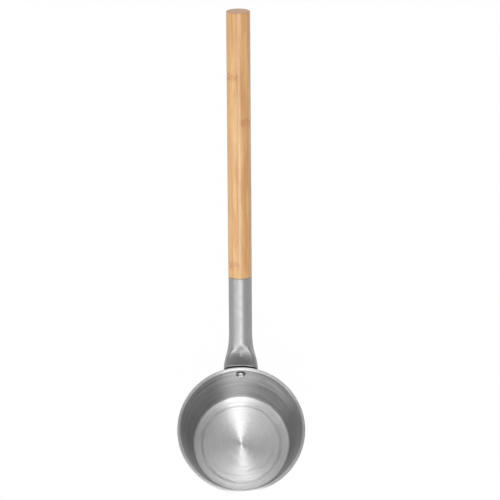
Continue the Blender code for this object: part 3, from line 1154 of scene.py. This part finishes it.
@dataclass(frozen=True)
class Ferrule:
    """Cast handle socket: a saddle foot that flares into a tube, with a stepped bore."""

    foot: Foot
    pad: Pad
    drop: float = 0.0275
    rise: float = radians(31.5)
    diameter: float = 0.0201
    reach: float = 0.0965
    end_radius: float = 0.0005
    flare_length: float = 0.048
    foot_edge_radius: float = 0.0009
    web_thickness: float = 0.006
    foot_pull: float = 0.53
    tube_pull: float = 0.60
    hollow_dip: float = radians(33)
    hollow_foot_pull: float = 0.85
    hollow_tube_pull: float = 0.31
    hollow_shortening: float = 0.0094
    shortening_power: float = 2.0
    hollow_power: float = 1.5
    hollow_width: float = 0.75
    hollow_ease: float = 0.10
    tenon_diameter: float = 0.015
    tenon_length: float = 0.050
    screw_diameter: float = 0.0045
    driver_pocket: float = 0.0084
    flare_steps: int = 40
    tube_steps: int = 16
    arc_steps: int = 6
    bore_segments: int = 96

    @property
    def frame(self) -> Matrix:
        """Frame of the handle: Z along it, Y on its top side."""
        return self.foot.cup.frame_on_wall(self.foot.cup.height - self.drop, self.rise)

    @property
    def tenon_tip(self) -> float:
        """Place along the handle where the rod's tenon starts."""
        return self.reach + SEAT_GAP - self.tenon_length

    @property
    def web_underside(self) -> float:
        """Place along the handle of the web's side towards the cup."""
        return self.tenon_tip - SEAT_GAP - self.web_thickness

    @property
    def screw_hole_radius(self) -> float:
        """Radius of the hole for the rod's screw."""
        return self.screw_diameter / 2 + SEAT_GAP

    def tube_point(self, turn: float, radius: float, along: float) -> Vector:
        """Point on a tube round the handle's line, in the same turn as the foot's points."""
        return self.frame @ Vector((-radius * cos(turn), radius * sin(turn), along))

    def crown(self, turn: float) -> float:
        """How far a line of the flare lies in the hollow on top.

        Args:
            turn: The line's angle round the foot.

        Returns:
            1 in the hollow's middle and 0 outside it.
        """
        if sin(turn) <= 0:
            return 0.0
        aside = hypot(cos(turn), self.hollow_ease) - self.hollow_ease
        return max(0.0, 1 - aside / self.hollow_width) ** self.hollow_power

    def flare_end(self, turn: float) -> float:
        """Place along the handle where the flare meets the tube."""
        return self.flare_length - self.hollow_shortening * max(0.0, sin(turn)) ** self.shortening_power

    def flare_line(self, turn: float) -> list[Vector]:
        """Line of the flare from the foot's edge to the tube.

        Args:
            turn: The line's angle round the foot.

        Returns:
            The line's points.
        """
        start = self.foot.point(turn, self.pad.foot_back) + Vector((0, self.foot_edge_radius, 0))
        end = self.tube_point(turn, self.diameter / 2, self.flare_end(turn))
        crown = self.crown(turn)
        rise = self.rise * (1 - sin(turn)) / 2 - self.hollow_dip * crown
        leaving = Vector((0, cos(rise), sin(rise)))
        arriving = self.frame.to_3x3() @ Vector((0, 0, 1))
        span = (end - start).length
        foot_pull = self.foot_pull + (self.hollow_foot_pull - self.foot_pull) * crown
        tube_pull = self.tube_pull + (self.hollow_tube_pull - self.tube_pull) * crown
        pulls = (start + leaving * span * foot_pull, end - arriving * span * tube_pull)
        return interpolate_bezier(start, *pulls, end, self.flare_steps + 1)

    def skin_line(self, turn: float) -> list[Vector]:
        """Line of the skin over the foot's edge, along the flare and round the tube's end.

        Args:
            turn: The line's angle round the foot.

        Returns:
            The line's points.
        """
        line = []
        for step in range(1, self.arc_steps):
            swing = pi / 2 * step / self.arc_steps
            inset = self.foot_edge_radius * (1 - sin(swing))
            forward = self.foot_edge_radius * (1 - cos(swing))
            line.append(self.foot.point(turn, self.pad.foot_back, inset) + Vector((0, forward, 0)))
        line += self.flare_line(turn)
        straight = self.reach - self.end_radius - self.flare_end(turn)
        for step in range(1, self.tube_steps):
            along = self.flare_end(turn) + straight * step / self.tube_steps
            line.append(self.tube_point(turn, self.diameter / 2, along))
        for step in range(self.arc_steps + 1):
            swing = pi / 2 * step / self.arc_steps
            radius = self.diameter / 2 - self.end_radius * (1 - cos(swing))
            line.append(self.tube_point(turn, radius, self.reach - self.end_radius * (1 - sin(swing))))
        return line

    def bore(self, lathe: Lathe) -> Piece:
        """Cutter of the driver's pocket, the screw's hole and the rod's socket.

        Args:
            lathe: The tree that turns it.

        Returns:
            The cutter.
        """
        start, end = -self.foot.cup.base_diameter / 2, self.reach + CUT_MARGIN
        floor = self.tenon_tip - SEAT_GAP
        socket = self.tenon_diameter / 2 + SEAT_GAP
        corners = [
            (0, start, 0),
            (self.driver_pocket / 2, start, 0),
            (self.driver_pocket / 2, self.web_underside, 0),
            (self.screw_hole_radius, self.web_underside, 0),
            (self.screw_hole_radius, floor, 0),
            (socket, floor, 0),
            (socket, end, 0),
            (0, end, 0),
        ]
        return lathe.turned("ferrule_bore", rounded(corners, 1), self.bore_segments, frame=self.frame)

    def build(self, lathe: Lathe, hole: Piece) -> None:
        """Shapes the ferrule, bores it and puts it in its place.

        Args:
            lathe: The tree that turns its bore.
            hole: The cutter of the screw's hole.
        """
        lines = [self.skin_line(turn) for turn in self.foot.turns()]
        rings = self.foot.face(self.pad.foot_back, self.foot_edge_radius) + list(zip(*lines))
        ferrule = skinned("cast_ferrule", rings, CastMetal(frame=self.frame).material())
        fitted(carved(ferrule, [self.bore(lathe), hole]), "ferrule")


@dataclass(frozen=True)
class Rod:
    """Bamboo rod with a tenon, a rounded shoulder and a rounded far end."""

    ferrule: Ferrule
    diameter: float = 0.0204
    length: float = 0.2328
    shoulder_radius: float = 0.0003
    joint_gap: float = 0.00005
    end_radius: float = 0.0012
    tenon_end_radius: float = 0.001
    screw_length: float = 0.050
    segments: int = 128
    arc_steps: int = 8
    longest_step: float = 0.004

    @property
    def end(self) -> float:
        """Place along the handle where the rod ends."""
        return self.ferrule.reach + SEAT_GAP + self.length

    def outline(self) -> list[Vector]:
        """Outline of the rod's half section.

        Returns:
            Its points, from the end of the pilot hole over the tenon to the far end.
        """
        hole_end = self.ferrule.web_underside + self.screw_length
        tenon = self.ferrule.tenon_diameter / 2
        shoulder = self.ferrule.reach + self.joint_gap
        corners = [
            (0, hole_end, 0),
            (self.ferrule.screw_hole_radius, hole_end, 0),
            (self.ferrule.screw_hole_radius, self.ferrule.tenon_tip, 0),
            (tenon, self.ferrule.tenon_tip, self.tenon_end_radius),
            (tenon, shoulder, 0),
            (self.diameter / 2, shoulder, self.shoulder_radius),
            (self.diameter / 2, self.end, self.end_radius),
            (0, self.end, 0),
        ]
        return divided(rounded(corners, self.arc_steps), self.longest_step)

    def build(self, lathe: Lathe) -> None:
        """Turns the rod and puts it in its place.

        Args:
            lathe: The tree that turns it.
        """
        bamboo = LaminatedBamboo(self.ferrule.frame, self.end).material()
        rod = lathe.turned("bamboo_rod", self.outline(), self.segments, bamboo, self.ferrule.frame)
        fitted(rod, "handle_rod")


@dataclass(frozen=True, kw_only=True)
class Screw:
    """Pan head screw with a cross recess. Each kind of it says where it sits."""

    name: str
    node: str
    point: Point
    diameter: float
    head_diameter: float
    head_height: float
    tip_diameter: float
    tip_length: float
    thread_pitch: float
    thread_depth: float
    neck: float
    side_share: float = 0.3
    shoulder_share: float = 0.5
    crown_share: float = 0.6
    recess_span: float = 0.56
    recess_slot: float = 0.14
    recess_depth: float = 0.75
    recess_taper: float = 0.62
    segments: int = 64
    arc_steps: int = 8
    steps_per_pitch: int = 6

    def place(self) -> tuple[Matrix, float, float]:
        """Frame with Z from head to tip, and the places on it of the head's seat and of the tip."""
        raise NotImplementedError

    def outline(self, seat: float, tip: float) -> list[Vector]:
        """Outline of the screw's half section.

        Args:
            seat: The place of the head's underside.
            tip: The place of the tip.

        Returns:
            Its points, from the middle of the head's face to the tip.
        """
        face = seat - self.head_height
        side = seat - self.head_height * self.side_share
        rounding = self.head_height * self.shoulder_share
        corners = [
            (0, face, 0),
            (self.head_diameter / 2 * self.crown_share, face, rounding),
            (self.head_diameter / 2, side, rounding),
            (self.head_diameter / 2, seat, 0),
            (self.diameter / 2, seat, 0),
            (self.diameter / 2, tip - self.tip_length, 0),
            (self.tip_diameter / 2, tip, 0),
            (0, tip, 0),
        ]
        return divided(rounded(corners, self.arc_steps), self.thread_pitch / self.steps_per_pitch)

    def recess(self, frame: Matrix, face: float) -> Piece:
        """Cutter of the cross recess, with its arms on the diagonals and narrower at the bottom.

        Args:
            frame: The screw's frame.
            face: The place of the head's face.

        Returns:
            The cutter.
        """
        top, bottom = face - CUT_MARGIN, face + self.head_height * self.recess_depth
        rings = [[frame @ Vector((0, 0, top))]]
        for along, share in ((top, 1.0), (face, 1.0), (bottom, self.recess_taper)):
            arm = self.head_diameter * self.recess_span / 2 * share
            slot = self.head_diameter * self.recess_slot / 2 * share
            ring = []
            for quarter in range(4):
                turn = Matrix.Rotation(pi / 4 + quarter * pi / 2, 2)
                ring += [turn @ Vector(corner) for corner in ((arm, -slot), (arm, slot), (slot, slot))]
            rings.append([frame @ Vector((*point, along)) for point in ring])
        return skinned(self.name + "_recess", rings)

    def thread(self, seat: float, tip: float) -> Thread:
        """Thread on the shaft, up to the tip or into the point."""
        end = tip if self.point is Point.FLAT else tip - self.tip_length / 2
        return Thread(seat + self.neck, end, self.thread_pitch, self.thread_depth)

    def build(self, lathe: Lathe, finish: Material) -> None:
        """Turns the screw with its thread, sinks the recess and puts it in its place.

        Args:
            lathe: The tree that turns it.
            finish: Its material.
        """
        frame, seat, tip = self.place()
        outline, thread = self.outline(seat, tip), self.thread(seat, tip)
        screw = lathe.turned(self.name, outline, self.segments, finish, frame, thread)
        recess = self.recess(frame, seat - self.head_height)
        fitted(carved(screw, [recess]), self.node)


@dataclass(frozen=True, kw_only=True)
class WallScrew(Screw):
    """Screw through the cup's wall into the foot, with the sealing washer under its head."""

    cup: Cup
    pad: Pad
    name: str = "wall_screw"
    node: str = "fixing_screw"
    point: Point = Point.FLAT
    diameter: float = 0.004
    head_diameter: float = 0.008
    head_height: float = 0.0015
    tip_diameter: float = 0.003
    tip_length: float = 0.0006
    thread_pitch: float = 0.0007
    thread_depth: float = 0.0003
    neck: float = 0.0004
    drop: float = 0.0072
    thread_reach: float = 0.0045
    tip_clearance: float = 0.0005
    washer_overhang: float = 0.0001
    washer_thickness: float = 0.0005
    washer_edge_radius: float = 0.00012
    washer_arc_steps: int = 4
    washer_segments: int = 64

    @property
    def frame(self) -> Matrix:
        """Frame of the screw: Z out through the wall."""
        return self.cup.frame_on_wall(self.cup.height - self.drop, -self.cup.lean)

    @property
    def hole_radius(self) -> float:
        """Radius of the hole that the screw passes."""
        return self.diameter / 2 + SEAT_GAP

    @property
    def washer_radius(self) -> float:
        """Outer radius of the washer."""
        return self.head_diameter / 2 + self.washer_overhang

    @property
    def washer_top(self) -> float:
        """Place of the washer's side towards the wall, clear of the wall's curve."""
        inside = self.cup.wall_radius(self.cup.height - self.drop, -self.cup.sheet)
        return -self.cup.sheet - self.washer_radius**2 / 2 / inside - SEAT_GAP

    @property
    def washer_bottom(self) -> float:
        """Place of the washer's side towards the screw's head."""
        return self.washer_top - self.washer_thickness

    @property
    def tip(self) -> float:
        """Place of the screw's tip."""
        return self.pad.foot_back + self.thread_reach

    def place(self) -> tuple[Matrix, float, float]:
        """Frame of the screw, and the places of the head's seat on the washer and of the tip."""
        return self.frame, self.washer_bottom - SEAT_GAP, self.tip

    def hole(self, lathe: Lathe, name: str) -> Piece:
        """Cutter of the screw's hole.

        Args:
            lathe: The tree that turns it.
            name: The cutter's name.

        Returns:
            The cutter.
        """
        start, end = self.washer_bottom - CUT_MARGIN, self.tip + self.tip_clearance
        corners = [(0, start, 0), (self.hole_radius, start, 0), (self.hole_radius, end, 0), (0, end, 0)]
        return lathe.turned(name, rounded(corners, 1), self.washer_segments, frame=self.frame)

    def build_washer(self, lathe: Lathe) -> None:
        """Turns the washer and puts it in its place.

        Args:
            lathe: The tree that turns it.
        """
        corners = [
            (self.hole_radius, self.washer_bottom, 0),
            (self.washer_radius, self.washer_bottom, self.washer_edge_radius),
            (self.washer_radius, self.washer_top, self.washer_edge_radius),
            (self.hole_radius, self.washer_top, 0),
        ]
        ring = rounded(corners, self.washer_arc_steps, closed=True)
        washer = lathe.turned("rubber_washer", ring, self.washer_segments, Rubber().material(), self.frame)
        fitted(washer, "sealing_washer")


@dataclass(frozen=True, kw_only=True)
class WebScrew(Screw):
    """Wood screw through the ferrule's web into the end of the rod."""

    ferrule: Ferrule
    name: str = "web_screw"
    node: str = "rod_screw"
    point: Point = Point.GIMLET
    length: float = 0.050
    head_diameter: float = 0.0074
    head_height: float = 0.0022
    tip_diameter: float = 0.0008
    tip_length: float = 0.006
    thread_pitch: float = 0.0018
    thread_depth: float = 0.0007

    def place(self) -> tuple[Matrix, float, float]:
        """Frame of the handle, and the places of the head's seat on the web and of the tip."""
        seat = self.ferrule.web_underside - SEAT_GAP
        return self.ferrule.frame, seat, seat + self.length


# ------------------------------------ Studio ------------------------------------------------


@dataclass(frozen=True)
class Softbox:
    """Rectangular lamp that faces a point of the ladle and that the camera doesn't see."""

    name: str
    azimuth: float
    elevation: float
    distance: float
    width: float
    height: float
    radiance: float
    target: tuple[float, float, float] = (0.0, 0.02, 0.02)

    def build(self) -> None:
        """Hangs the lamp. Azimuth 0 is towards -Y, and 90 degrees towards +X."""
        lamp = bpy.data.lights.new(self.name, "AREA")
        lamp.shape = "RECTANGLE"
        lamp.size, lamp.size_y = self.width, self.height
        lamp.energy = self.radiance * pi * self.width * self.height
        level = cos(self.elevation)
        away = Vector((sin(self.azimuth) * level, -cos(self.azimuth) * level, sin(self.elevation)))
        hung = linked(self.name, lamp)
        hung.location = Vector(self.target) + away * self.distance
        hung.rotation_euler = away.to_track_quat("Z", "Y").to_euler()
        hung.visible_camera = False


@dataclass(frozen=True)
class Surroundings:
    """Room light: white where the camera sees it, pale low down and dimmer overhead in the metal."""

    diffuse_level: float = 0.34
    low_level: float = 0.75
    high_level: float = 0.15
    low_height: float = 0.15
    high_height: float = 0.65

    def build(self) -> None:
        """Builds the world."""
        world = bpy.data.worlds.new("studio_room")
        bpy.context.scene.world = world
        world.use_nodes = True
        board = Board(world.node_tree)
        rays = board.add("ShaderNodeLightPath").outputs
        height = board.separate(board.add("ShaderNodeTexCoord").outputs["Generated"])[2]
        mirrored = board.ramp(height, self.low_height, self.high_height, self.low_level, self.high_level)
        shiny = board.math("MAXIMUM", rays["Is Glossy Ray"], rays["Is Transmission Ray"])
        level = board.between(shiny, self.diffuse_level, mirrored)
        background = world.node_tree.nodes["Background"].inputs
        board.give(background["Color"], with_alpha(WHITE))
        board.give(background["Strength"], board.between(rays["Is Camera Ray"], level, 1.0))


@dataclass(frozen=True)
class Studio:
    """Floor, lamps, room light and the camera at the photo's angle."""

    floor_size: float = 14.0
    floor_drop: float = 0.0002
    camera_place: tuple[float, float, float] = (0.0041475, -0.5767492, 2.7518601)
    camera_turn: tuple[float, float, float] = (radians(15.3018), radians(0.0196), radians(-0.4286))
    lens: float = 230.4
    sensor: float = 36.0
    clip_end: float = 30.0
    lamps: tuple[Softbox, ...] = (
        Softbox("front_softbox", radians(3), radians(31), 1.5, 0.95, 1.25, 2.95),
        Softbox("strip_softbox", radians(8), radians(70), 1.6, 0.46, 1.6, 3.7),
        Softbox("roof_softbox", radians(180), radians(80), 1.6, 1.2, 1.1, 0.78),
        Softbox("fill_softbox", radians(-45), radians(28), 1.5, 1.3, 0.9, 2.0),
        Softbox("left_softbox", radians(-90), radians(62), 1.6, 0.9, 0.9, 0.6),
        Softbox("right_softbox", radians(60), radians(32), 1.5, 0.8, 0.7, 0.65),
        Softbox("back_left_softbox", radians(-135), radians(20), 1.5, 0.9, 0.7, 0.9),
        Softbox("back_right_softbox", radians(135), radians(20), 1.5, 0.9, 0.7, 0.9),
    )

    def build(self) -> None:
        """Builds the studio."""
        mesh = bpy.data.meshes.new("studio_floor")
        half = self.floor_size / 2
        corners = [(x * half, y * half, -self.floor_drop) for x, y in ((-1, -1), (1, -1), (1, 1), (-1, 1))]
        mesh.from_pydata(corners, [], [(0, 1, 2, 3)])
        linked("studio_floor", mesh, PaleFloor().material())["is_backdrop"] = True
        for lamp in self.lamps:
            lamp.build()
        Surroundings().build()
        self._camera()
        bpy.context.scene.view_settings.view_transform = "Standard"

    def _camera(self) -> None:
        """Stands the camera where the photo was taken from."""
        data = bpy.data.cameras.new("photo_camera")
        data.lens, data.sensor_width, data.clip_end = self.lens, self.sensor, self.clip_end
        camera = linked("photo_camera", data)
        camera.location = self.camera_place
        camera.rotation_euler = Euler(self.camera_turn, "XYZ")
        bpy.context.scene.camera = camera


def boxes(measure: Callable[[], tuple[Vector, Vector]]) -> list[list[float]]:
    """Lowest and highest corner of a box as plain numbers."""
    return [list(corner) for corner in measure()]


def main() -> None:
    """Builds the ladle's pieces in order, then the studio."""
    logging.basicConfig(level=logging.INFO, format="%(message)s")
    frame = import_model()
    LOG.info("CAD nodes: %s", ", ".join(frame["nodes"]))
    cad_box = boxes(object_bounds)
    lathe = Lathe()
    cup = Cup()
    foot = Foot(cup)
    pad = Pad(foot)
    ferrule = Ferrule(foot, pad)
    wall_screw = WallScrew(cup=cup, pad=pad)
    web_screw = WebScrew(ferrule=ferrule, diameter=ferrule.screw_diameter, neck=ferrule.web_thickness)
    steel = ScrewSteel().material()
    cup.build(lathe, wall_screw.hole(lathe, "cup_hole"))
    pad.build(wall_screw.hole(lathe, "pad_hole"))
    ferrule.build(lathe, wall_screw.hole(lathe, "foot_hole"))
    Rod(ferrule).build(lathe)
    wall_screw.build_washer(lathe)
    wall_screw.build(lathe, steel)
    web_screw.build(lathe, steel)
    Studio().build()
    {"cad_box": cad_box, "visual_box": boxes(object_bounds)}


if __name__ == "__main__":
    main()
